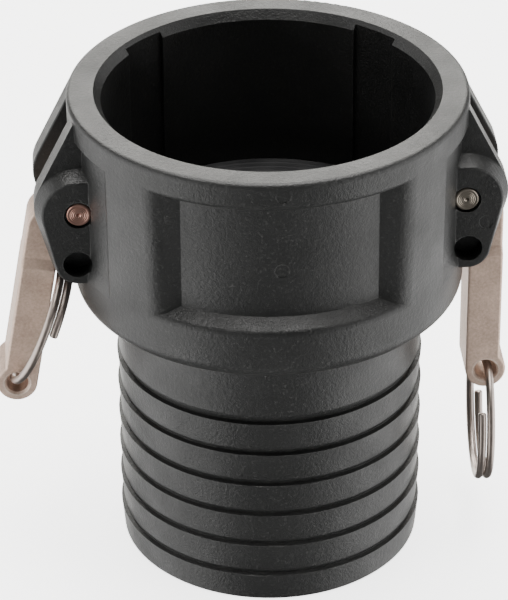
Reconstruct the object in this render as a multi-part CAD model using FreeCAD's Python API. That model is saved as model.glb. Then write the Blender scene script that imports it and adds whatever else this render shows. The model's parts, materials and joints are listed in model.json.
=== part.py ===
import FreeCAD, Part
import math
import os

# Female camlock coupler with a hose tail, 3 inch (DN80) size, in millimetres.
# The origin is the centre of the hose tail's end face. +Z runs up the axis to the mouth,
# the two levers are on -X (left) and +X (right), and -Y is the front.

V = FreeCAD.Vector
UP = V(0, 0, 1)
ALONG_Y = V(0, 1, 0)

# ---- driving dimensions -------------------------------------------------------------------
HEIGHT = 143.3             # hose tail end to rim

# socket that takes the adapter
BORE_R = 46.25
MOUTH_CHAMFER_R = 2.03
MOUTH_CHAMFER_Z = 2.63
GROOVE_R = 47.4           # four vertical grooves in the socket wall
GROOVE_SPAN = 17.5         # degrees
GROOVE_EDGE = 0.8          # chamfer where a groove meets the rim
GROOVE_CENTRE = 45.0       # degrees from +X of the first one
SHELF_Z = 88.9             # seat of the gasket
GASKET_H = 6.3
GASKET_POCKET_R = 47.4
GASKET_POCKET_H = 6.4
GASKET_INNER_R = 38.7
GASKET_OUTER_R = 47.2
GASKET_BEVEL = 0.6

# bell
RIM_R = 55.8
RIM_ROUND = 1.5
ARC_MIDDLE = 0.293         # 1 - cos 45: from a quarter round's corner to its middle, in radii
SKIRT_R = 55.0
SKIRT_Z = 87.3             # start of the rounded bottom lip
LIP_BULGE_X = 0.3          # middle of the lip's curve, outside its chord
LIP_BULGE_Z = -0.6
BELL_FOOT_R = 53.4
BELL_FOOT_Z = 82.6
BELL_FOOT_ROUND = 0.6

# hose tail
TAIL_BORE_R = 38.0
THROAT_R = 38.5            # the bore widens a little where the tail joins the bell
THROAT_Z = 78.0
THROAT_STEP = 0.5          # height of the cone between the two
NECK_STEP = 1.0            # the neck starts this far above the top barb's heel
TAIL_END_R = 43.15
NECK_R = 43.4
BARB_COUNT = 6
BARB_PITCH = 10.3
BARB_R = 43.88             # crest
BARB_HEEL_R = 43.05        # end of the long slope below a crest
BARB_ROOT_R = 42.6
FIRST_BARB_Z = 60.4
BARB_HEEL_H = 1.5          # heel and root stand this far above the next crest
BARB_ROOT_H = 0.35
TAIL_END_ROUND = 0.7

# recessed panels at the front and the back of the bell
PANEL_FLOOR_R = 50.6
PANEL_FLOOR_HALF = 32.0    # degrees
PANEL_EDGE_HALF = 37.8
PANEL_TOP = HEIGHT - 7.6
PANEL_BOTTOM = HEIGHT - 46.5
PANEL_TOP_DRAFT = 2.2      # how far the top wall leans in
PANEL_BOTTOM_DRAFT = 3.0
PANEL_SIDE_ROUND = 7.0     # of the upright outer edges
PANEL_LONG_ROUND = 2.0     # of the top and bottom outer edges

# shallow relief of the bell wall on each side, where the lugs stand
SIDE_R = 54.1
SIDE_HALF = 33.0           # degrees either side of +X and -X
SIDE_TOP = HEIGHT - 7.6
SIDE_BOTTOM = HEIGHT - 50.0
SIDE_TOP_DRAFT = 1.2
SIDE_BOTTOM_DRAFT = 7.0    # the relief runs out gently at its foot
SIDE_UPRIGHT_ROUND = 2.0

# how the recesses are cut and their outer edges told apart
RECESS_BEYOND = 2.2        # the cutting tool goes on this many times the wall's depth
RIM_INSET = 0.3            # the bell's surface at the recesses lies this far inside the rim
PANEL_MIN_Y = 40.0         # edges further than this from the XZ plane belong to the panels
OUTER_EDGE_MIN = 15.0      # a recess's outer edges are longer than this
EDGE_ON_WALL = 0.1         # an outer edge is no further than this inside the skirt's radius
EDGE_MARGIN_Z = 1.5        # and no further than this above or below the recess

# lugs: two cheeks on each side
PIN_X = 53.6
PIN_Z = HEIGHT - 27.8
CORE_HOLE_X = 54.3         # blind hole below the pin
CORE_HOLE_Z = HEIGHT - 43.3
CORE_HOLE_R = 4.0
CORE_HOLE_DEPTH = 5.5
SLOT_HALF = 6.85           # half the gap between the cheeks
PLATE_Y = 14.25            # outer face of the gusset plates
BOSS_Y = 19.0              # outer face of the bosses on them
PLATE_NOSE_R = 12.2        # plate outline round the pin
PLATE_FOOT_R = 7.4         # plate outline round the blind hole
BOSS_NOSE_R = 10.1
BOSS_FOOT_R = 6.2
BOSS_EDGE_ROUND = 0.7
SLOT_EDGE_ROUND = 0.45
GUSSET_TOP_Z = HEIGHT - 2.2
GUSSET_SLOPE = 0.5         # how far the gusset's sloping edge goes out per unit down
LUG_ROOT_X = 47.5          # the lug's outline starts here, inside the bell wall
CAM_POCKET_R = 12.2        # opening in the wall for the cam

# pins
PIN_R = 3.5
PIN_FIT = 0.03             # radial, in the cheeks
COUNTERBORE_R = 4.0
COUNTERBORE_DEPTH = 1.6
PIN_RECESS = 0.25          # pin end below the boss face
PIN_CHAMFER = 0.4

# round witness marks of the mould's ejector pins
MARK_R = 2.0
MARK_DEPTH = 0.14
RIM_MARK_Z = HEIGHT - 3.6
FLOOR_MARK_Z = HEIGHT - 29.3
CHEEK_MARK_X = PIN_X + 5.6
CHEEK_MARK_Z = PIN_Z - 7.2

# levers, described in the closed position relative to the pin: x outwards, z up
LEVER_FIT = 0.06           # radial, on the pin
HEAD_HALF = 6.2            # half thickness between the cheeks
ARM_HALF = 8.0             # half thickness of the arm
LEDGE_TOP = -22.4          # slope between the two
LEDGE_BOTTOM = -24.8
HUB_R = 7.0
NOSE_R = 3.5
NOSE_X = -7.4
NOSE_Z = -2.3
ARM_INNER = 2.65
ARM_OUTER = 12.45
HUB_LOW_ANGLE = -72.0      # degrees from +X where the hub's round meets the arm
HUB_HIGH_ANGLE = 38.0      # and where it meets the shoulder
NECK_Z = -13.0             # top of the arm's inner face
SHOULDER_X = 10.9
SHOULDER_Z = -8.0
SHOULDER_MID_X = 11.85
SHOULDER_MID_Z = -9.6
ARM_OUTER_TOP_Z = -12.2    # top of the arm's outer face
EYE_X = 8.45
EYE_Z = -63.1
EYE_R = 5.8
EYE_HOLE_R = 3.2
EYE_SINK_R = 3.8
EYE_SINK_DEPTH = 0.7
EYE_LOW_ANGLE = -83.1      # degrees from +X of a point on the eye's outer round
LEVER_EDGE_ROUND = 0.8
LEFT_LEVER_OPEN = 10.0     # degrees from closed, held there by its folded ring

# split rings of round wire
RING_R = 19.2              # to the wire's centre line
WIRE_R = 1.2
LAYER = 1.25               # each turn's offset from the ring's middle plane
JOG_HALF = 24.0            # degrees of the crossing between the turns, inside the eye
RING_DROP = 1.1            # wire below the eye's axis at the eye's faces
RING_END_NEAR = 60.0       # the two cut ends, degrees from the eye
RING_END_FAR = 106.0
RIGHT_RING_SWING = 0.0     # degrees from hanging straight down
RIGHT_RING_TWIST = -2.0
LEFT_RING_SWING = 156.3
LEFT_RING_TWIST = 0.0


# ---- small helpers ------------------------------------------------------------------------
def polar(radius, degrees_from_x):
    angle = math.radians(degrees_from_x)
    return radius * math.cos(angle), radius * math.sin(angle)


def line(start, end):
    return Part.LineSegment(start, end).toShape()


def arc(start, middle, end):
    return Part.Arc(start, middle, end).toShape()


def solid_of_revolution(edges):
    """Turn a closed outline in the XZ half-plane about the Z axis."""
    face = Part.Face(Part.Wire(edges))
    return face.revolve(V(0, 0, 0), UP, 360)


def polygon_edges(points):
    return [line(a, b) for a, b in zip(points, points[1:] + points[:1])]


def cylinder(radius, length, base, direction):
    return Part.makeCylinder(radius, length, base, direction)


def cylinder_y(radius, y_from, y_to, x, z):
    return cylinder(radius, y_to - y_from, V(x, y_from, z), ALONG_Y)


def mirrored_x(shape):
    return shape.mirror(V(0, 0, 0), V(1, 0, 0))


def mirrored_y(shape):
    return shape.mirror(V(0, 0, 0), ALONG_Y)


def fillet(shape, radius, wanted):
    """Round the edges that a test picks, and keep the shape if they can't be rounded."""
    edges = [edge for edge in shape.Edges if wanted(edge)]
    rounded = shape.makeFillet(radius, edges)
    return rounded if rounded.isValid() else shape


# ---- coupler body -------------------------------------------------------------------------
def tail_outline():
    """Outer points of the hose tail from its end up to the neck."""
    points = [V(TAIL_BORE_R, 0, 0), V(TAIL_END_R - TAIL_END_ROUND, 0, 0)]
    points.append(V(TAIL_END_R, 0, TAIL_END_ROUND))
    for index in reversed(range(BARB_COUNT)):
        crest_z = FIRST_BARB_Z - index * BARB_PITCH
        points.append(V(BARB_R, 0, crest_z))
        points.append(V(BARB_ROOT_R, 0, crest_z + BARB_ROOT_H))
        points.append(V(BARB_HEEL_R, 0, crest_z + BARB_HEEL_H))
    return points


def body_blank():
    """The turned shape of bell, neck and tail, still solid inside above the tail's bore."""
    points = tail_outline()
    points += [V(NECK_R, 0, FIRST_BARB_Z + BARB_HEEL_H + NECK_STEP), V(NECK_R, 0, BELL_FOOT_Z)]
    points += [V(BELL_FOOT_R - BELL_FOOT_ROUND, 0, BELL_FOOT_Z)]
    edges = [line(a, b) for a, b in zip(points, points[1:])]
    foot_end = V(BELL_FOOT_R, 0, BELL_FOOT_Z + BELL_FOOT_ROUND)
    skirt = V(SKIRT_R, 0, SKIRT_Z)
    lip_middle = V((BELL_FOOT_R + SKIRT_R) / 2 + LIP_BULGE_X, 0,
                   (foot_end.z + SKIRT_Z) / 2 + LIP_BULGE_Z)
    rim_side = V(RIM_R, 0, HEIGHT - RIM_ROUND)
    rim_top = V(RIM_R - RIM_ROUND, 0, HEIGHT)
    rim_middle = V(RIM_R - ARC_MIDDLE * RIM_ROUND, 0, HEIGHT - ARC_MIDDLE * RIM_ROUND)
    inner_top = V(THROAT_R, 0, HEIGHT)
    throat = V(THROAT_R, 0, THROAT_Z + THROAT_STEP)
    bore_top = V(TAIL_BORE_R, 0, THROAT_Z)
    edges.append(line(points[-1], foot_end))
    edges.append(arc(foot_end, lip_middle, skirt))
    edges.append(line(skirt, rim_side))
    edges.append(arc(rim_side, rim_middle, rim_top))
    edges.append(line(rim_top, inner_top))
    edges.append(line(inner_top, throat))
    edges.append(line(throat, bore_top))
    edges.append(line(bore_top, points[0]))
    return solid_of_revolution(edges)


def wall_recess(floor_r, floor_half, edge_half, z_low, z_high, drafts):
    """Tool for a recess centred on -Y: all four walls lean outwards from a curved floor.

    The walls reach the bell's surface at edge_half, z_low and z_high, and go on past it.
    """
    surface_r = RIM_R - RIM_INSET
    beyond = RECESS_BEYOND
    floor_x, floor_y = polar(floor_r, -90 + floor_half)
    edge_x, edge_y = polar(surface_r, -90 + edge_half)
    out_x = floor_x + (edge_x - floor_x) * beyond
    out_y = floor_y + (edge_y - floor_y) * beyond
    right = [V(floor_x, floor_y, 0), V(out_x, out_y, 0), V(out_x, -1.5 * surface_r, 0)]
    left = [V(-point.x, point.y, 0) for point in reversed(right)]
    walls = right + left
    plan = [arc(left[-1], V(0, -floor_r, 0), right[0])]
    plan += [line(start, end) for start, end in zip(walls, walls[1:])]
    prism = Part.Face(Part.Wire(plan)).extrude(V(0, 0, HEIGHT))

    low_draft, high_draft = drafts
    out_r = floor_r + (surface_r - floor_r) * beyond
    section = [V(floor_r, 0, z_low + low_draft), V(out_r, 0, z_low + low_draft * (1 - beyond))]
    section += [V(out_r, 0, z_high - high_draft * (1 - beyond)), V(floor_r, 0, z_high - high_draft)]
    return prism.common(solid_of_revolution(polygon_edges(section)))


def recess_rims(shape, facing_y, upright, z_low, z_high):
    """The outer edges of the recesses that face Y or X: the upright ones or the long ones."""
    found = []
    for edge in shape.Edges:
        middle = edge.valueAt((edge.FirstParameter + edge.LastParameter) / 2)
        on_wall = math.hypot(middle.x, middle.y) > SKIRT_R - EDGE_ON_WALL
        inside = z_low - EDGE_MARGIN_Z < middle.z < z_high + EDGE_MARGIN_Z
        here = (abs(middle.y) > PANEL_MIN_Y) == facing_y
        tall = edge.BoundBox.ZLength > OUTER_EDGE_MIN
        if on_wall and inside and here and tall == upright and edge.Length > OUTER_EDGE_MIN:
            found.append(edge)
    return found


def recessed_blank():
    """The turned body with its panels and side reliefs, their outer edges rounded."""
    front = wall_recess(PANEL_FLOOR_R, PANEL_FLOOR_HALF, PANEL_EDGE_HALF, PANEL_BOTTOM, PANEL_TOP,
                        (PANEL_BOTTOM_DRAFT, PANEL_TOP_DRAFT))
    side = wall_recess(SIDE_R, SIDE_HALF - 1, SIDE_HALF, SIDE_BOTTOM, SIDE_TOP,
                       (SIDE_BOTTOM_DRAFT, SIDE_TOP_DRAFT))
    side.rotate(V(0, 0, 0), UP, 90)
    body = body_blank().cut([front, mirrored_y(front)])
    for upright, radius in ((True, PANEL_SIDE_ROUND), (False, PANEL_LONG_ROUND)):
        body = body.makeFillet(radius, recess_rims(body, True, upright, PANEL_BOTTOM, PANEL_TOP))
    body = body.cut([side, mirrored_x(side)])
    return body.makeFillet(SIDE_UPRIGHT_ROUND, recess_rims(body, False, True, SIDE_BOTTOM, SIDE_TOP))


def lug_outline(nose_r, foot_r, y, side_top=None):
    """Outline of a cheek at one y: round the pin, down a tangent, round the blind hole."""
    pin = V(PIN_X, y, PIN_Z)
    hole = V(CORE_HOLE_X, y, CORE_HOLE_Z)
    along = hole - pin
    lean = math.asin((nose_r - foot_r) / along.Length)
    direction = math.atan2(along.z, along.x)
    normal_angle = direction + math.pi / 2 - lean
    outward = V(math.cos(normal_angle), 0, math.sin(normal_angle))
    nose_end = pin + outward * nose_r
    foot_start = hole + outward * foot_r
    foot_mid_angle = (normal_angle - math.pi / 2) / 2
    foot_mid = hole + V(math.cos(foot_mid_angle), 0, math.sin(foot_mid_angle)) * foot_r
    foot_end = hole - V(0, 0, foot_r)
    foot_root = V(LUG_ROOT_X, y, foot_end.z)
    if side_top is None:
        start_angle = math.pi / 2
        nose_start = pin + V(0, 0, nose_r)
        top = [V(LUG_ROOT_X, y, nose_start.z)]
    else:
        start_angle = math.atan(GUSSET_SLOPE)
        slope_normal = V(math.cos(start_angle), 0, math.sin(start_angle))
        nose_start = pin + slope_normal * nose_r
        slope_top_x = nose_start.x - (side_top - nose_start.z) * GUSSET_SLOPE
        top = [V(LUG_ROOT_X, y, side_top), V(slope_top_x, y, side_top)]
    mid_angle = (start_angle + normal_angle) / 2
    nose_mid = pin + V(math.cos(mid_angle), 0, math.sin(mid_angle)) * nose_r
    edges = [line(a, b) for a, b in zip(top, top[1:] + [nose_start])]
    edges.append(arc(nose_start, nose_mid, nose_end))
    edges.append(line(nose_end, foot_start))
    edges.append(arc(foot_start, foot_mid, foot_end))
    edges.append(line(foot_end, foot_root))
    edges.append(line(foot_root, top[0]))
    return Part.Wire(edges)


def cheek():
    """The rear right cheek: a gusset plate with a tapered boss on its outer face."""
    plate_wire = lug_outline(PLATE_NOSE_R, PLATE_FOOT_R, SLOT_HALF, GUSSET_TOP_Z)
    plate = Part.Face(plate_wire).extrude(V(0, PLATE_Y - SLOT_HALF, 0))
    base = lug_outline(PLATE_NOSE_R, PLATE_FOOT_R, PLATE_Y)
    front = lug_outline(BOSS_NOSE_R, BOSS_FOOT_R, BOSS_Y)
    boss = Part.makeLoft([base, front], True, True)
    both = plate.fuse(boss).removeSplitter()
    both = fillet(both, BOSS_EDGE_ROUND, lambda edge: edge.BoundBox.YMin > BOSS_Y - 0.01
                  and edge.BoundBox.XMax > LUG_ROOT_X + 1)
    return fillet(both, SLOT_EDGE_ROUND, lambda edge: edge.BoundBox.YMax < SLOT_HALF + 0.01
                  and edge.BoundBox.XMax > LUG_ROOT_X + 1)


def four_ways(shape):
    """The shape and its mirror images in X and Y."""
    both = [shape, mirrored_y(shape)]
    return both + [mirrored_x(one) for one in both]


def socket_tool():
    """The room inside the bell: mouth, bore and gasket pocket."""
    pocket_top = SHELF_Z + GASKET_POCKET_H
    points = [V(0, 0, SHELF_Z), V(GASKET_POCKET_R, 0, SHELF_Z), V(GASKET_POCKET_R, 0, pocket_top)]
    points += [V(BORE_R, 0, pocket_top), V(BORE_R, 0, HEIGHT - MOUTH_CHAMFER_Z)]
    points += [V(BORE_R + MOUTH_CHAMFER_R, 0, HEIGHT), V(BORE_R + MOUTH_CHAMFER_R, 0, HEIGHT + 5)]
    points += [V(0, 0, HEIGHT + 5)]
    return solid_of_revolution(polygon_edges(points))


def groove_tools():
    """The four vertical grooves in the socket wall, on the diagonals."""
    bottom = SHELF_Z + GASKET_POCKET_H - 1
    inner = BORE_R - 3
    points = [V(inner, 0, bottom), V(GROOVE_R, 0, bottom), V(GROOVE_R, 0, HEIGHT - GROOVE_EDGE)]
    points += [V(GROOVE_R + GROOVE_EDGE + 0.1, 0, HEIGHT + 0.1), V(inner, 0, HEIGHT + 0.1)]
    section = Part.Face(Part.Wire(polygon_edges(points)))
    tools = []
    for quarter in range(4):
        groove = section.revolve(V(0, 0, 0), UP, GROOVE_SPAN)
        groove.rotate(V(0, 0, 0), UP, GROOVE_CENTRE + 90 * quarter - GROOVE_SPAN / 2)
        tools.append(groove)
    return tools


def hole_tools():
    """Pin holes, counterbores and blind holes of one rear right cheek."""
    pin_hole = cylinder_y(PIN_R + PIN_FIT, SLOT_HALF - 1, BOSS_Y + 1, PIN_X, PIN_Z)
    counterbore = cylinder_y(COUNTERBORE_R, BOSS_Y - COUNTERBORE_DEPTH, BOSS_Y + 1, PIN_X, PIN_Z)
    core = cylinder_y(CORE_HOLE_R, BOSS_Y - CORE_HOLE_DEPTH, BOSS_Y + 1, CORE_HOLE_X, CORE_HOLE_Z)
    return pin_hole.fuse([counterbore, core])


def ejector_marks():
    """Shallow round marks: rim, panel floor and one cheek, all at the front."""
    rim_mark = cylinder_y(MARK_R, -RIM_R - 1, -RIM_R + 2 * MARK_DEPTH, 0, RIM_MARK_Z)
    floor_mark = cylinder_y(MARK_R, -PANEL_FLOOR_R - 3, -PANEL_FLOOR_R + MARK_DEPTH, 0,
                            FLOOR_MARK_Z)
    cheek_mark = cylinder_y(MARK_R, -BOSS_Y - 1, -BOSS_Y + MARK_DEPTH, CHEEK_MARK_X, CHEEK_MARK_Z)
    return [rim_mark, floor_mark, cheek_mark]


def coupler_body():
    body = recessed_blank()
    body = body.fuse(four_ways(cheek()))
    cam_pocket = cylinder_y(CAM_POCKET_R, -SLOT_HALF, SLOT_HALF, PIN_X, PIN_Z)
    body = body.cut([socket_tool(), cam_pocket, mirrored_x(cam_pocket)])
    body = body.cut(groove_tools())
    body = body.cut(four_ways(hole_tools()) + ejector_marks())
    return body.removeSplitter()


# ---- gasket -------------------------------------------------------------------------------
def gasket():
    low = SHELF_Z
    high = SHELF_Z + GASKET_H
    bevel = GASKET_BEVEL
    points = [V(GASKET_INNER_R + bevel, 0, low), V(GASKET_OUTER_R - bevel, 0, low)]
    points += [V(GASKET_OUTER_R, 0, low + bevel), V(GASKET_OUTER_R, 0, high - bevel)]
    points += [V(GASKET_OUTER_R - bevel, 0, high), V(GASKET_INNER_R + bevel, 0, high)]
    points += [V(GASKET_INNER_R, 0, high - bevel), V(GASKET_INNER_R, 0, low + bevel)]
    return solid_of_revolution(polygon_edges(points))


# ---- pins ---------------------------------------------------------------------------------
def pin_right():
    half = BOSS_Y - PIN_RECESS
    pin = cylinder_y(PIN_R, -half, half, PIN_X, PIN_Z)
    return pin.makeChamfer(PIN_CHAMFER, [edge for edge in pin.Edges if edge.Closed])


# ---- levers -------------------------------------------------------------------------------
def at_pin(x, z, y=0.0):
    return V(PIN_X + x, y, PIN_Z + z)


def lever_outline():
    """Closed lever seen from the front: hub, cam nose, shoulder, arm and eye."""
    pin_to_nose = V(NOSE_X, 0, NOSE_Z)
    lean = math.asin((HUB_R - NOSE_R) / pin_to_nose.Length)
    direction = math.atan2(NOSE_Z, NOSE_X)
    upper = direction - math.pi / 2 + lean
    lower = direction + math.pi / 2 - lean
    upper_n = V(math.cos(upper), 0, math.sin(upper))
    lower_n = V(math.cos(lower), 0, math.sin(lower))
    tip = V(math.cos(direction), 0, math.sin(direction))
    hub_low_x, hub_low_z = polar(HUB_R, HUB_LOW_ANGLE)
    hub_high_x, hub_high_z = polar(HUB_R, HUB_HIGH_ANGLE)
    eye_low_x, eye_low_z = polar(EYE_R, EYE_LOW_ANGLE)
    nose = at_pin(NOSE_X, NOSE_Z)
    hub = at_pin(0, 0)
    hub_low = hub + V(hub_low_x, 0, hub_low_z)
    hub_low_mid = hub + (lower_n + V(0, 0, -1)).normalize() * HUB_R
    hub_high = hub + V(hub_high_x, 0, hub_high_z)
    hub_high_mid = hub + (upper_n + V(0.5, 0, 1)).normalize() * HUB_R
    outer_drop = math.sqrt(EYE_R ** 2 - (ARM_OUTER - EYE_X) ** 2)
    eye_out = at_pin(ARM_OUTER, EYE_Z + outer_drop)
    eye_in = at_pin(ARM_INNER, EYE_Z)
    eye_low = at_pin(EYE_X, EYE_Z) + V(eye_low_x, 0, eye_low_z)
    arm_high = at_pin(ARM_OUTER, ARM_OUTER_TOP_Z)
    shoulder = at_pin(SHOULDER_X, SHOULDER_Z)
    shoulder_mid = at_pin(SHOULDER_MID_X, SHOULDER_MID_Z)
    neck = at_pin(ARM_INNER, NECK_Z)
    edges = [arc(hub_low, hub_low_mid, hub + lower_n * HUB_R)]
    edges.append(line(hub + lower_n * HUB_R, nose + lower_n * NOSE_R))
    edges.append(arc(nose + lower_n * NOSE_R, nose + tip * NOSE_R, nose + upper_n * NOSE_R))
    edges.append(line(nose + upper_n * NOSE_R, hub + upper_n * HUB_R))
    edges.append(arc(hub + upper_n * HUB_R, hub_high_mid, hub_high))
    edges.append(line(hub_high, shoulder))
    edges.append(arc(shoulder, shoulder_mid, arm_high))
    edges.append(line(arm_high, eye_out))
    edges.append(arc(eye_out, eye_low, eye_in))
    edges.append(line(eye_in, neck))
    edges.append(line(neck, hub_low))
    return Part.Wire(edges)


def lever_side_profile():
    """Outline along Y and Z: thin between the cheeks, thick below the ledge.

    It stands clear of the lever at every end, so only its two flanks cut.
    """
    margin = 5
    near = PIN_X + NOSE_X - NOSE_R - margin
    far = PIN_X + ARM_OUTER + EYE_R + margin
    top = HUB_R + margin
    bottom = EYE_Z - EYE_R - margin
    half = [(HEAD_HALF, top), (HEAD_HALF, LEDGE_TOP), (ARM_HALF, LEDGE_BOTTOM), (ARM_HALF, bottom)]
    points = [V(near, y, PIN_Z + z) for y, z in half]
    points += [V(near, -y, PIN_Z + z) for y, z in reversed(half)]
    return Part.Face(Part.Wire(polygon_edges(points))).extrude(V(far - near, 0, 0))


def lever_right():
    outline = lever_outline()
    outline.translate(V(0, -ARM_HALF - 1, 0))
    block = Part.Face(outline).extrude(V(0, 2 * ARM_HALF + 2, 0))
    lever = block.common(lever_side_profile())
    lever = fillet(lever, LEVER_EDGE_ROUND, lambda edge: True)
    eye = at_pin(EYE_X, EYE_Z)
    pivot = cylinder_y(PIN_R + LEVER_FIT, -ARM_HALF - 1, ARM_HALF + 1, PIN_X, PIN_Z)
    hole = cylinder_y(EYE_HOLE_R, -ARM_HALF - 1, ARM_HALF + 1, eye.x, eye.z)
    sink = Part.makeCone(EYE_HOLE_R, EYE_SINK_R, EYE_SINK_DEPTH,
                         V(eye.x, ARM_HALF - EYE_SINK_DEPTH, eye.z), ALONG_Y)
    return lever.cut([pivot, hole, sink, mirrored_y(sink)])


def opened(shape, degrees):
    """Swing something of the right lever outwards about its pin."""
    turned = shape.copy()
    turned.rotate(V(PIN_X, 0, PIN_Z), ALONG_Y, -degrees)
    return turned


# ---- split rings --------------------------------------------------------------------------
def wire_along_arc(start, middle, end):
    """A length of round wire along a circular arc."""
    curve = Part.Arc(start, middle, end)
    circle = curve.toShape().Curve
    ahead = (start - circle.Center).normalize()
    sweep = curve.toShape().Length / circle.Radius
    axis = circle.Axis
    if (axis.cross(ahead)).dot(middle - start) < 0:
        axis = axis * -1
    tangent = axis.cross(ahead)
    disc = Part.Face(Part.Wire(Part.makeCircle(WIRE_R, start, tangent)))
    return disc.revolve(circle.Center, axis, math.degrees(sweep))


def ring_point(degrees, layer):
    """A point of the wire, from the eye round the ring: Y to the front is positive degrees."""
    angle = math.radians(degrees)
    return V(layer, -RING_R * math.sin(angle), RING_R * math.cos(angle))


def split_ring(front_end, back_end, hand):
    """Two turns side by side, hanging from the origin, which is on the eye's axis.

    The crossing from one turn to the other is inside the eye. The back turn's cut end is at
    the front and the front turn's is at the back, because each turn passes the other's start.
    A hand of 1 puts the turn that ends at the back outwards, and -1 puts it inwards, which makes
    a mirrored ring the same part as the other one.
    """
    outer = hand * LAYER
    jog = math.radians(JOG_HALF)
    reach = RING_R * math.sin(jog)
    rise = (math.sqrt((reach * math.cos(jog)) ** 2 + math.sin(jog) ** 2 * (reach ** 2 + LAYER ** 2))
            - reach * math.cos(jog)) / math.sin(jog)
    crown = V(0, 0, RING_R * math.cos(jog) + rise)
    front_start = ring_point(JOG_HALF, outer)
    back_start = ring_point(-JOG_HALF, -outer)
    pieces = []
    for start, layer, first, last in ((front_start, outer, JOG_HALF, 360 - back_end),
                                      (back_start, -outer, -JOG_HALF, front_end - 360)):
        quarter = (first * 3 + last) / 4
        middle = (first + last) / 2
        three_quarter = (first + last * 3) / 4
        pieces.append(wire_along_arc(start, ring_point(quarter, layer), ring_point(middle, layer)))
        pieces.append(wire_along_arc(ring_point(middle, layer), ring_point(three_quarter, layer),
                                     ring_point(last, layer)))
        tangent = (ring_point(first + math.copysign(90, first), 0)).normalize()
        chord = crown - start
        toward = tangent * -1
        side = (chord - toward * chord.dot(toward)).normalize()
        radius = chord.dot(chord) / (2 * chord.dot(side))
        centre = start + side * radius
        halfway = centre + (((start - centre) + (crown - centre)).normalize()) * radius
        pieces.append(wire_along_arc(start, halfway, crown))
    ring = pieces[0].fuse(pieces[1:])
    wire_at_face = math.sqrt(RING_R ** 2 - ARM_HALF ** 2)
    ring.translate(V(0, 0, -wire_at_face - RING_DROP))
    return ring


def hung_ring(ring, twist, swing, lever_open):
    """Place a ring in the right lever's eye: twist about its own length, then swing outwards."""
    ring.rotate(V(0, 0, 0), UP, twist)
    ring.rotate(V(0, 0, 0), ALONG_Y, -swing)
    angle = math.radians(lever_open)
    dx = EYE_X * math.cos(angle) - EYE_Z * math.sin(angle)
    dz = EYE_X * math.sin(angle) + EYE_Z * math.cos(angle)
    ring.translate(at_pin(dx, dz))
    return ring


# ---- export -------------------------------------------------------------------------------
def all_parts():
    lever = lever_right()
    return {
        "coupler_body": coupler_body(),
        "gasket": gasket(),
        "pin_right": pin_right(),
        "pin_left": mirrored_x(pin_right()),
        "lever_right": lever,
        "lever_left": mirrored_x(opened(lever, LEFT_LEVER_OPEN)),
        "ring_right": hung_ring(split_ring(RING_END_NEAR, RING_END_FAR, 1), RIGHT_RING_TWIST,
                                RIGHT_RING_SWING, 0),
        "ring_left": mirrored_x(hung_ring(split_ring(RING_END_FAR, RING_END_NEAR, -1),
                                          LEFT_RING_TWIST, -LEFT_RING_SWING, LEFT_LEVER_OPEN)),
    }


os.makedirs("parts", exist_ok=True)
for name, shape in all_parts().items():
    shape.exportStep("parts/" + name + ".step")
    box = shape.BoundBox
    print(name, "valid", shape.isValid(), "solids", len(shape.Solids), "volume", round(shape.Volume, 1),
          "box", [round(n, 2) for n in (box.XMin, box.YMin, box.ZMin, box.XMax, box.YMax, box.ZMax)])
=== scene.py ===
import json
import math

import bmesh
import bpy
from mathutils import Matrix, Vector


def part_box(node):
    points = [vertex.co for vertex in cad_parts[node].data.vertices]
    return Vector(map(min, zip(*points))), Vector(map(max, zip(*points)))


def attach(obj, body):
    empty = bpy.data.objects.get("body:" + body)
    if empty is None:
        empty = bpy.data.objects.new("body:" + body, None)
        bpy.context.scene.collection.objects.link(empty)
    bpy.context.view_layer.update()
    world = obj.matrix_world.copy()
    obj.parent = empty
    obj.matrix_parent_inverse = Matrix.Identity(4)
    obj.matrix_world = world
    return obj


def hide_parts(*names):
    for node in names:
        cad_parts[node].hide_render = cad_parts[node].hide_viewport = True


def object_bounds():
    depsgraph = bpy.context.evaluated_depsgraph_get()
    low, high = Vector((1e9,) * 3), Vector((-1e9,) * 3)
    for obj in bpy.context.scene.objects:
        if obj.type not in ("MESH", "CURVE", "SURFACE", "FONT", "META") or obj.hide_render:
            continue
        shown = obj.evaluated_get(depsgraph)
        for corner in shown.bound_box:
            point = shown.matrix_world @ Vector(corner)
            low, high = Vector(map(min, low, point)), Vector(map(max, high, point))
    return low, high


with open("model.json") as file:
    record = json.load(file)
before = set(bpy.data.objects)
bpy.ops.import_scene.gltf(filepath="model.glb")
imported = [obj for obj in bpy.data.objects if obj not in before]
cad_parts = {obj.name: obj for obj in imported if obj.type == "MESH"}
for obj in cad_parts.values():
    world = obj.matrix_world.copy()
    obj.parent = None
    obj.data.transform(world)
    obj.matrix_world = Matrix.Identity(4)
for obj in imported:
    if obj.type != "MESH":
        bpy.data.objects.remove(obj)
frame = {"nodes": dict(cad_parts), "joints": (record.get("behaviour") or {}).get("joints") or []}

CAD_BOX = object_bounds()
MM = 0.001
NODES = frame["nodes"]
JOINTS = {joint["name"]: joint for joint in frame["joints"]}

# ---- sizes that repeat the part's own ------------------------------------------------------
RING_R_MM = 19.2
WIRE_R_MM = 1.2
LAYER_MM = 1.25
JOG_HALF = 24.0
RING_END_NEAR = 60.0
RING_END_FAR = 106.0
RING_DROP_MM = 1.1
ARM_HALF_MM = 8.0
RIGHT_RING_TWIST = -2.0
RIGHT_RING_SWING = 0.0
LEFT_RING_TWIST = 0.0
LEFT_RING_SWING = 156.3
PIN_R_MM = 3.5

# ---- camera --------------------------------------------------------------------------------
CAMERA_AT = Vector((-0.0593, -0.8286, 0.5797))
CAMERA_AIM = Vector((-0.00428, 0.00028, 0.0744))
CAMERA_ROLL = -0.45
CAMERA_LENS = 203.7


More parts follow.
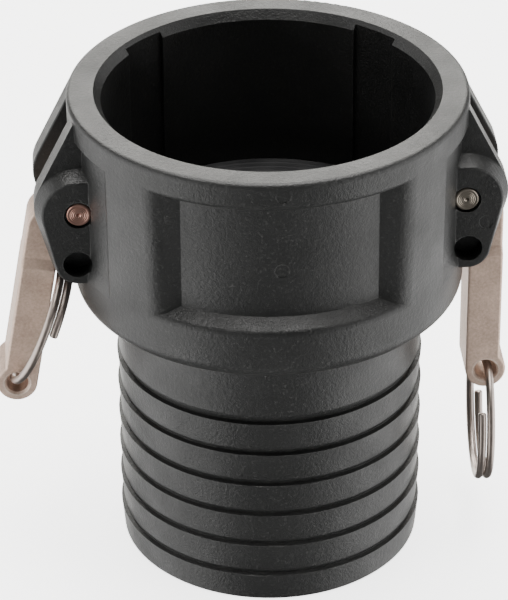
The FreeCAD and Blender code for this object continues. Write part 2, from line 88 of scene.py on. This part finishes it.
# ---- sizes of the detail that Blender adds --------------------------------------------------
BEVEL_SAMPLES = 6
WORN_EDGE_MM = 0.8         # how far in from an edge the wear shows
ROUTE_STEPS = 260          # points along a ring's wire
WIRE_SIDES = 20
PIN_SEGMENTS = 72
GASKET_SEGMENTS = 180
GASKET_WIDTH_MM = 8.5      # outer radius less inner radius
GASKET_BEVEL_MM = 0.6
GASKET_EDGE_DROP_MM = 0.05 # the edges of the top face lie this far below the CAD's
GASKET_FACE_DROP_MM = 0.20
GASKET_RIB_MM = 0.16       # height of the sealing ribs
GASKET_RIB_WAVES = 3       # waves across the face, whose crests make the ribs
GASKET_FACE_STEPS = 48
GASKET_FLASH_MM = 0.10     # how far the flash line stands in from the inner wall
TOOL_RING_HALF_MM = 0.12   # half the width of a turning mark on a pin's end
TOOL_RING_DEPTH_MM = 0.10
FLOOR_HALF = 30.0
FLOOR_GAP = 0.0002         # between the floor and the object's foot

# ---- material tools ------------------------------------------------------------------------
def new_material(name):
    material = bpy.data.materials.new(name)
    material.use_nodes = True
    tree = material.node_tree
    shader = tree.nodes["Principled BSDF"]
    return material, tree, shader


def add(tree, kind):
    return tree.nodes.new(kind)


def noise(tree, vector, scale, detail=3.0, roughness=0.5):
    node = add(tree, "ShaderNodeTexNoise")
    node.inputs["Scale"].default_value = scale
    node.inputs["Detail"].default_value = detail
    node.inputs["Roughness"].default_value = roughness
    tree.links.new(vector, node.inputs["Vector"])
    return node.outputs["Fac"]


def stretched(tree, vector, scales):
    """The vector scaled unevenly, which draws a noise out into streaks."""
    node = add(tree, "ShaderNodeMapping")
    node.inputs["Scale"].default_value = scales
    tree.links.new(vector, node.inputs["Vector"])
    return node.outputs["Vector"]


def ramp(tree, value, low, high, from_min=0.0, from_max=1.0):
    node = add(tree, "ShaderNodeMapRange")
    node.inputs["From Min"].default_value = from_min
    node.inputs["From Max"].default_value = from_max
    node.inputs["To Min"].default_value = low
    node.inputs["To Max"].default_value = high
    tree.links.new(value, node.inputs["Value"])
    return node.outputs["Result"]


def math_node(tree, operation, a, b=None):
    node = add(tree, "ShaderNodeMath")
    node.operation = operation
    for index, value in enumerate((a, b)):
        if value is None:
            continue
        if isinstance(value, (int, float)):
            node.inputs[index].default_value = value
        else:
            tree.links.new(value, node.inputs[index])
    return node.outputs["Value"]


def mix_colour(tree, factor, a, b):
    node = add(tree, "ShaderNodeMix")
    node.data_type = "RGBA"
    tree.links.new(factor, node.inputs["Factor"])
    node.inputs["A"].default_value = (*a, 1)
    node.inputs["B"].default_value = (*b, 1)
    return node


def bump_chain(tree, shader, layers, edge_radius):
    """Heights on top of each other, over a normal that rounds the sharp edges."""
    bevel = add(tree, "ShaderNodeBevel")
    bevel.samples = BEVEL_SAMPLES
    bevel.inputs["Radius"].default_value = edge_radius
    normal = bevel.outputs["Normal"]
    for height, distance in layers:
        bump = add(tree, "ShaderNodeBump")
        bump.inputs["Strength"].default_value = 1.0
        bump.inputs["Distance"].default_value = distance
        tree.links.new(height, bump.inputs["Height"])
        tree.links.new(normal, bump.inputs["Normal"])
        normal = bump.outputs["Normal"]
    tree.links.new(normal, shader.inputs["Normal"])


def edge_amount(tree, radius, low=0.985, high=0.90):
    """0 on flat stretches and 1 near a sharp edge: how far the rounded normal leans."""
    bevel = add(tree, "ShaderNodeBevel")
    bevel.samples = BEVEL_SAMPLES
    bevel.inputs["Radius"].default_value = radius
    geometry = add(tree, "ShaderNodeNewGeometry")
    dot = add(tree, "ShaderNodeVectorMath")
    dot.operation = "DOT_PRODUCT"
    tree.links.new(bevel.outputs["Normal"], dot.inputs[0])
    tree.links.new(geometry.outputs["Normal"], dot.inputs[1])
    return ramp(tree, dot.outputs["Value"], 0.0, 1.0, low, high)


def object_vector(tree):
    return add(tree, "ShaderNodeTexCoord").outputs["Object"]


# ---- materials -----------------------------------------------------------------------------
def body_plastic():
    """Black glass-filled polypropylene straight from the mould: satin, faintly grained."""
    material, tree, shader = new_material("body_plastic_moulded")
    where = object_vector(tree)
    grain = noise(tree, where, 2400, 2.0)
    orange_peel = noise(tree, where, 950, 2.0)
    cloud = noise(tree, where, 55, 4.0, 0.6)
    fibre = noise(tree, stretched(tree, where, (900, 900, 160)), 1.0, 3.0)
    scuff_field = noise(tree, where, 190, 5.0, 0.65)
    edge = edge_amount(tree, WORN_EDGE_MM * MM)
    worn = math_node(tree, "MULTIPLY", edge, ramp(tree, scuff_field, 0.0, 0.8, 0.46, 0.68))
    dust = ramp(tree, noise(tree, where, 1300, 3.0, 0.7), 0.0, 0.55, 0.56, 0.74)
    light = math_node(tree, "MAXIMUM", worn, dust)
    colour = mix_colour(tree, light, (0.0055, 0.0057, 0.0055), (0.036, 0.036, 0.034))
    tree.links.new(colour.outputs["Result"], shader.inputs["Base Color"])
    base_rough = ramp(tree, cloud, 0.33, 0.50, 0.3, 0.7)
    rough = math_node(tree, "ADD", base_rough, ramp(tree, fibre, -0.04, 0.06))
    tree.links.new(rough, shader.inputs["Roughness"])
    shader.inputs["IOR"].default_value = 1.5
    layers = [(cloud, 0.12 * MM), (fibre, 0.02 * MM), (orange_peel, 0.12 * MM), (grain, 0.09 * MM)]
    bump_chain(tree, shader, layers, 0.3 * MM)
    return material


def cast_steel():
    """Investment-cast stainless steel, blasted matt: even grain, soft blotches, rubbed edges."""
    material, tree, shader = new_material("lever_steel_cast")
    where = object_vector(tree)
    cast = noise(tree, where, 1150, 4.0, 0.65)
    fine = noise(tree, where, 2600, 2.0)
    blotch = noise(tree, where, 120, 4.0, 0.6)
    rub = noise(tree, stretched(tree, where, (1500, 1500, 90)), 1.0, 3.0)
    edge = edge_amount(tree, WORN_EDGE_MM * MM)
    tone = math_node(tree, "ADD", ramp(tree, blotch, 0.0, 0.6, 0.3, 0.7),
                     ramp(tree, cast, -0.1, 0.5, 0.3, 0.7))
    base = mix_colour(tree, tone, (0.44, 0.320, 0.255), (0.69, 0.530, 0.435))
    worn = add(tree, "ShaderNodeMix")
    worn.data_type = "RGBA"
    tree.links.new(edge, worn.inputs["Factor"])
    tree.links.new(base.outputs["Result"], worn.inputs["A"])
    worn.inputs["B"].default_value = (0.86, 0.77, 0.70, 1)
    tree.links.new(worn.outputs["Result"], shader.inputs["Base Color"])
    shader.inputs["Metallic"].default_value = 0.85
    rough = math_node(tree, "ADD", ramp(tree, blotch, 0.44, 0.56, 0.3, 0.7),
                      ramp(tree, rub, -0.06, 0.06))
    tree.links.new(rough, shader.inputs["Roughness"])
    layers = [(blotch, 0.08 * MM), (cast, 0.07 * MM), (rub, 0.006 * MM), (fine, 0.02 * MM)]
    bump_chain(tree, shader, layers, 0.2 * MM)
    return material


def turned_steel(name, dark, light):
    """Bar turned in a lathe. Each pin gets its own copy that differs in tint and in painted light: a
    brighter copy painted as if lit, and a darker copy painted in shade.
    """
    material, tree, shader = new_material(name)
    where = object_vector(tree)
    blotch = noise(tree, where, 420, 3.0)
    streak = noise(tree, stretched(tree, where, (300, 6000, 300)), 1.0, 2.0)
    colour = mix_colour(tree, blotch, dark, light)
    tree.links.new(colour.outputs["Result"], shader.inputs["Base Color"])
    shader.inputs["Metallic"].default_value = 1.0
    tree.links.new(ramp(tree, streak, 0.24, 0.42), shader.inputs["Roughness"])
    bump_chain(tree, shader, [(streak, 0.004 * MM), (blotch, 0.02 * MM)], 0.12 * MM)
    return material


def drawn_wire():
    """Bright drawn wire with a fine grain and small dull patches."""
    material, tree, shader = new_material("ring_steel_drawn")
    where = object_vector(tree)
    blotch = noise(tree, where, 350, 4.0, 0.6)
    fine = noise(tree, where, 3000, 2.0)
    colour = mix_colour(tree, blotch, (0.40, 0.335, 0.30), (0.58, 0.51, 0.465))
    tree.links.new(colour.outputs["Result"], shader.inputs["Base Color"])
    shader.inputs["Metallic"].default_value = 1.0
    tree.links.new(ramp(tree, blotch, 0.30, 0.44, 0.3, 0.7), shader.inputs["Roughness"])
    bump_chain(tree, shader, [(blotch, 0.008 * MM), (fine, 0.0015 * MM)], 0.1 * MM)
    return material


def gasket_rubber():
    """Black nitrile rubber with a dry bloom and the fine skin of its mould."""
    material, tree, shader = new_material("gasket_rubber_moulded")
    where = object_vector(tree)
    bloom = noise(tree, where, 120, 5.0, 0.6)
    skin = noise(tree, where, 1800, 3.0)
    colour = mix_colour(tree, ramp(tree, bloom, 0.0, 1.0, 0.4, 0.75), (0.010, 0.010, 0.011),
                        (0.030, 0.030, 0.031))
    tree.links.new(colour.outputs["Result"], shader.inputs["Base Color"])
    tree.links.new(ramp(tree, bloom, 0.58, 0.78, 0.3, 0.7), shader.inputs["Roughness"])
    shader.inputs["Specular IOR Level"].default_value = 0.4
    bump_chain(tree, shader, [(bloom, 0.08 * MM), (skin, 0.02 * MM)], 0.25 * MM)
    return material


def studio_floor():
    material, tree, shader = new_material("studio_floor")
    where = object_vector(tree)
    colour = mix_colour(tree, noise(tree, where, 8, 3.0), (0.90, 0.90, 0.90), (0.915, 0.915, 0.91))
    tree.links.new(colour.outputs["Result"], shader.inputs["Base Color"])
    shader.inputs["Roughness"].default_value = 0.9
    shader.inputs["Specular IOR Level"].default_value = 0.1
    shader.inputs["Emission Color"].default_value = (1, 1, 1, 1)
    shader.inputs["Emission Strength"].default_value = 3.2
    return material


# ---- mesh tools ----------------------------------------------------------------------------
def make_mesh(name, vertices, faces, material, smooth=True):
    mesh = bpy.data.meshes.new(name)
    mesh.from_pydata([tuple(v) for v in vertices], [], faces)
    mesh.validate()
    if smooth:
        mesh.polygons.foreach_set("use_smooth", [True] * len(mesh.polygons))
    mesh.materials.append(material)
    mesh.update()
    piece = bpy.data.objects.new(name, mesh)
    bpy.context.scene.collection.objects.link(piece)
    return piece


def grid_faces(rows, columns, close_rows=False):
    """Quads between rows of points, each row wrapping round on itself."""
    faces = []
    for row in range(rows if close_rows else rows - 1):
        below = (row + 1) % rows
        for column in range(columns):
            right = (column + 1) % columns
            faces.append((row * columns + column, row * columns + right,
                          below * columns + right, below * columns + column))
    return faces


def lathe(name, outline, axis_point, axis, material, segments, closed=True):
    """Revolve (radius, along) points about an axis. A closed outline gives a ring."""
    axis = Vector(axis).normalized()
    side = axis.orthogonal().normalized()
    other = axis.cross(side)
    vertices = []
    for radius, along in outline:
        for step in range(segments):
            angle = 2 * math.pi * step / segments
            out = side * math.cos(angle) + other * math.sin(angle)
            vertices.append(Vector(axis_point) + axis * along + out * radius)
    faces = grid_faces(len(outline), segments, close_rows=closed)
    if not closed:
        last = (len(outline) - 1) * segments
        faces.append(tuple(reversed(range(segments))))
        faces.append(tuple(last + step for step in range(segments)))
    return make_mesh(name, vertices, faces, material)


def smooth_by_angle(piece, degrees):
    """Shade smooth except across edges sharper than the angle."""
    limit = math.radians(degrees)
    mesh = piece.data
    mesh.polygons.foreach_set("use_smooth", [True] * len(mesh.polygons))
    mesh.set_sharp_from_angle(angle=limit)


# ---- split rings ---------------------------------------------------------------------------
def ring_route(front_end, back_end, hand):
    """The wire's centre line: two turns side by side, crossing over inside the eye."""
    points = []
    first = front_end - 360
    last = 360 - back_end
    for step in range(ROUTE_STEPS + 1):
        degrees = first + (last - first) * step / ROUTE_STEPS
        across = max(-1.0, min(1.0, degrees / JOG_HALF))
        layer = hand * LAYER_MM * math.sin(across * math.pi / 2)
        angle = math.radians(degrees)
        points.append(Vector((layer, -RING_R_MM * math.sin(angle), RING_R_MM * math.cos(angle))) * MM)
    drop = math.sqrt(RING_R_MM ** 2 - ARM_HALF_MM ** 2) + RING_DROP_MM
    return [point - Vector((0, 0, drop * MM)) for point in points]


def wire(name, route, radius, material):
    """Round wire along a route, its cut ends slightly rounded."""
    vertices = []
    count = len(route)
    # point of the route, shift along it in wire diameters, share of the full radius
    rows = [(0, 0.0, 0.35), (0, 0.06, 0.80), (0, 0.22, 1.0)]
    for index in range(1, count - 1):
        rows.append((index, 0.0, 1.0))
    rows += [(count - 1, -0.22, 1.0), (count - 1, -0.06, 0.80), (count - 1, 0.0, 0.35)]
    for index, shift, scale in rows:
        ahead = (route[min(index + 1, count - 1)] - route[max(index - 1, 0)]).normalized()
        outward = Vector((1, 0, 0))
        side = (outward - ahead * outward.dot(ahead)).normalized()
        other = ahead.cross(side)
        centre = route[index] + ahead * shift * radius * 2
        for step in range(WIRE_SIDES):
            angle = 2 * math.pi * step / WIRE_SIDES
            offset = side * math.cos(angle) + other * math.sin(angle)
            vertices.append(centre + offset * radius * scale)
    faces = grid_faces(len(rows), WIRE_SIDES)
    last = (len(rows) - 1) * WIRE_SIDES
    faces.append(tuple(reversed(range(WIRE_SIDES))))
    faces.append(tuple(last + step for step in range(WIRE_SIDES)))
    return make_mesh(name, vertices, faces, material)


def split_ring(name, node, body, eye, ends, twist, swing, mirrored, material):
    route = ring_route(*ends, -1 if mirrored else 1)
    turn = Matrix.Rotation(math.radians(-swing), 4, "Y") @ Matrix.Rotation(math.radians(twist), 4, "Z")
    placed = []
    for point in route:
        moved = turn @ point
        if mirrored:
            moved.x = -moved.x
        placed.append(moved + Vector(eye))
    ring = wire(name, placed, WIRE_R_MM * MM, material)
    fix_normals(ring)
    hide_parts(node)
    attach(ring, body)


def fix_normals(piece):
    work = bmesh.new()
    work.from_mesh(piece.data)
    bmesh.ops.recalc_face_normals(work, faces=work.faces)
    work.to_mesh(piece.data)
    work.free()


# ---- pins ----------------------------------------------------------------------------------
def pin(name, node, material):
    """A turned pin: chamfered ends with tool rings and a centre mark."""
    low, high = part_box(node)
    centre = (Vector(low) + Vector(high)) / 2
    half = (high[1] - low[1]) / 2 / MM
    # radius and depth below the end face, from the middle out
    end = [(0.02, 0.62), (0.28, 0.50), (0.55, 0.10), (0.62, 0.03), (0.9, 0.0), (1.0, 0.05), (1.1, 0.0)]
    for ring_radius in (1.55, 2.0, 2.45):
        end += [(ring_radius - TOOL_RING_HALF_MM, 0.0), (ring_radius, TOOL_RING_DEPTH_MM),
                (ring_radius + TOOL_RING_HALF_MM, 0.0)]
    end += [(PIN_R_MM - 0.42, 0.0), (PIN_R_MM - 0.34, 0.03), (PIN_R_MM - 0.06, 0.33), (PIN_R_MM, 0.45)]
    outline = [(radius * MM, (half - depth) * MM) for radius, depth in end]
    outline += [(PIN_R_MM * MM, along * half * MM) for along in (0.6, 0.2, -0.2, -0.6)]
    outline += [(radius * MM, (depth - half) * MM) for radius, depth in reversed(end)]
    piece = lathe(name, outline, centre, (0, 1, 0), material, PIN_SEGMENTS, closed=False)
    fix_normals(piece)
    smooth_by_angle(piece, 40)
    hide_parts(node)
    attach(piece, "coupler")


# ---- gasket --------------------------------------------------------------------------------
def gasket(name, node, material):
    """A moulded seal: shallow sealing ribs on its top face, and a flash line inside."""
    low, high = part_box(node)
    outer = (high[0] - low[0]) / 2
    inner = outer - GASKET_WIDTH_MM * MM
    bottom = low[2]
    top = high[2]
    bevel = GASKET_BEVEL_MM * MM
    outline = [(inner + bevel, bottom), (outer - bevel, bottom), (outer, bottom + bevel),
               (outer, top - bevel), (outer - bevel, top - GASKET_EDGE_DROP_MM * MM)]
    width = outer - inner - 2 * bevel
    for step in range(1, GASKET_FACE_STEPS):
        share = step / GASKET_FACE_STEPS
        rib = max(0.0, math.cos(share * math.pi * 2 * GASKET_RIB_WAVES)) ** 2
        height = GASKET_RIB_MM * rib - GASKET_FACE_DROP_MM
        outline.append((outer - bevel - width * share, top + height * MM))
    outline += [(inner + bevel, top - GASKET_EDGE_DROP_MM * MM), (inner, top - bevel)]
    middle = (top + bottom) / 2
    for shift, proud in ((0.45, 0.0), (0.15, GASKET_FLASH_MM), (-0.15, GASKET_FLASH_MM), (-0.45, 0.0)):
        outline.append((inner - proud * MM, middle + shift * MM))
    outline.append((inner, bottom + bevel))
    piece = lathe(name, outline, (0, 0, 0), (0, 0, 1), material, GASKET_SEGMENTS)
    fix_normals(piece)
    smooth_by_angle(piece, 35)
    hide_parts(node)
    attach(piece, "coupler")


# ---- stage, lights and camera --------------------------------------------------------------
def floor(material):
    side = FLOOR_HALF
    corners = [(-side, -side, 0), (side, -side, 0), (side, side, 0), (-side, side, 0)]
    ground = make_mesh("studio_floor", corners, [(0, 1, 2, 3)], material, smooth=False)
    ground.location.z = CAD_BOX[0][2] - FLOOR_GAP
    ground.visible_glossy = False
    ground.visible_shadow = False


def soft_light(name, place, aim, size, power, colour):
    data = bpy.data.lights.new(name, "AREA")
    data.shape = "RECTANGLE"
    data.size, data.size_y = size
    data.energy = power
    data.color = colour
    lamp = bpy.data.objects.new(name, data)
    bpy.context.scene.collection.objects.link(lamp)
    lamp.location = place
    lamp.visible_camera = False
    lamp.rotation_mode = "QUATERNION"
    lamp.rotation_quaternion = (Vector(aim) - Vector(place)).to_track_quat("-Z", "Y")


def lights():
    middle = (0, 0, 0.08)
    for side, name in ((-1, "left_box"), (1, "right_box")):
        soft_light(name, (side * 1.3, -0.1, -0.15), middle, (2.4, 2.4), 42, (1.0, 0.995, 0.985))
    soft_light("back_box", (0.0, 1.5, 1.0), middle, (1.8, 0.9), 34, (1.0, 0.985, 0.94))
    soft_light("back_low_box", (0.0, 1.5, -0.5), middle, (1.8, 1.4), 26, (1.0, 0.985, 0.95))
    soft_light("top_box", (0.0, 0.1, 1.7), middle, (1.3, 1.3), 50, (1.0, 0.99, 0.97))
    world = bpy.data.worlds.new("studio_air")
    world.use_nodes = True
    world.node_tree.nodes["Background"].inputs["Color"].default_value = (1, 1, 1, 1)
    world.node_tree.nodes["Background"].inputs["Strength"].default_value = 0.13
    bpy.context.scene.world = world


def camera():
    data = bpy.data.cameras.new("camera")
    data.sensor_width = 36
    data.sensor_fit = "AUTO"
    data.lens = CAMERA_LENS
    data.clip_start, data.clip_end = 0.05, 50
    eye = bpy.data.objects.new("camera", data)
    bpy.context.scene.collection.objects.link(eye)
    eye.location = CAMERA_AT
    eye.rotation_mode = "QUATERNION"
    look = (CAMERA_AIM - CAMERA_AT).to_track_quat("-Z", "Y")
    roll = Matrix.Rotation(math.radians(CAMERA_ROLL), 4, "Z").to_quaternion()
    eye.rotation_quaternion = look @ roll
    bpy.context.scene.camera = eye


def dress(node, material):
    """Give a CAD node its material."""
    for place in NODES[node].material_slots:
        place.material = material


# ---- assembly ------------------------------------------------------------------------------
plastic = body_plastic()
lever_steel = cast_steel()
wire_steel = drawn_wire()
dress("coupler_body", plastic)
dress("lever_left", lever_steel)
dress("lever_right", lever_steel)
# Painted light: the left pin's copy has a coppery tint and is painted brighter, as if lit from the
# left. The right pin's copy is greyer and painted darker, as painted shade.
pin("pin_left_turned", "pin_left",
    turned_steel("pin_steel_warm_painted_lit", (0.62, 0.33, 0.26), (0.92, 0.58, 0.48)))
pin("pin_right_turned", "pin_right",
    turned_steel("pin_steel_grey_painted_shade", (0.33, 0.29, 0.24), (0.58, 0.52, 0.44)))
split_ring("ring_right_wire", "ring_right", "ring_right_body", JOINTS["ring_right_swing"]["pos_m"],
           (RING_END_NEAR, RING_END_FAR), RIGHT_RING_TWIST, RIGHT_RING_SWING, False, wire_steel)
split_ring("ring_left_wire", "ring_left", "ring_left_body", JOINTS["ring_left_swing"]["pos_m"],
           (RING_END_FAR, RING_END_NEAR), LEFT_RING_TWIST, -LEFT_RING_SWING, True, wire_steel)
gasket("gasket_moulded", "gasket", gasket_rubber())
floor(studio_floor())
lights()
camera()
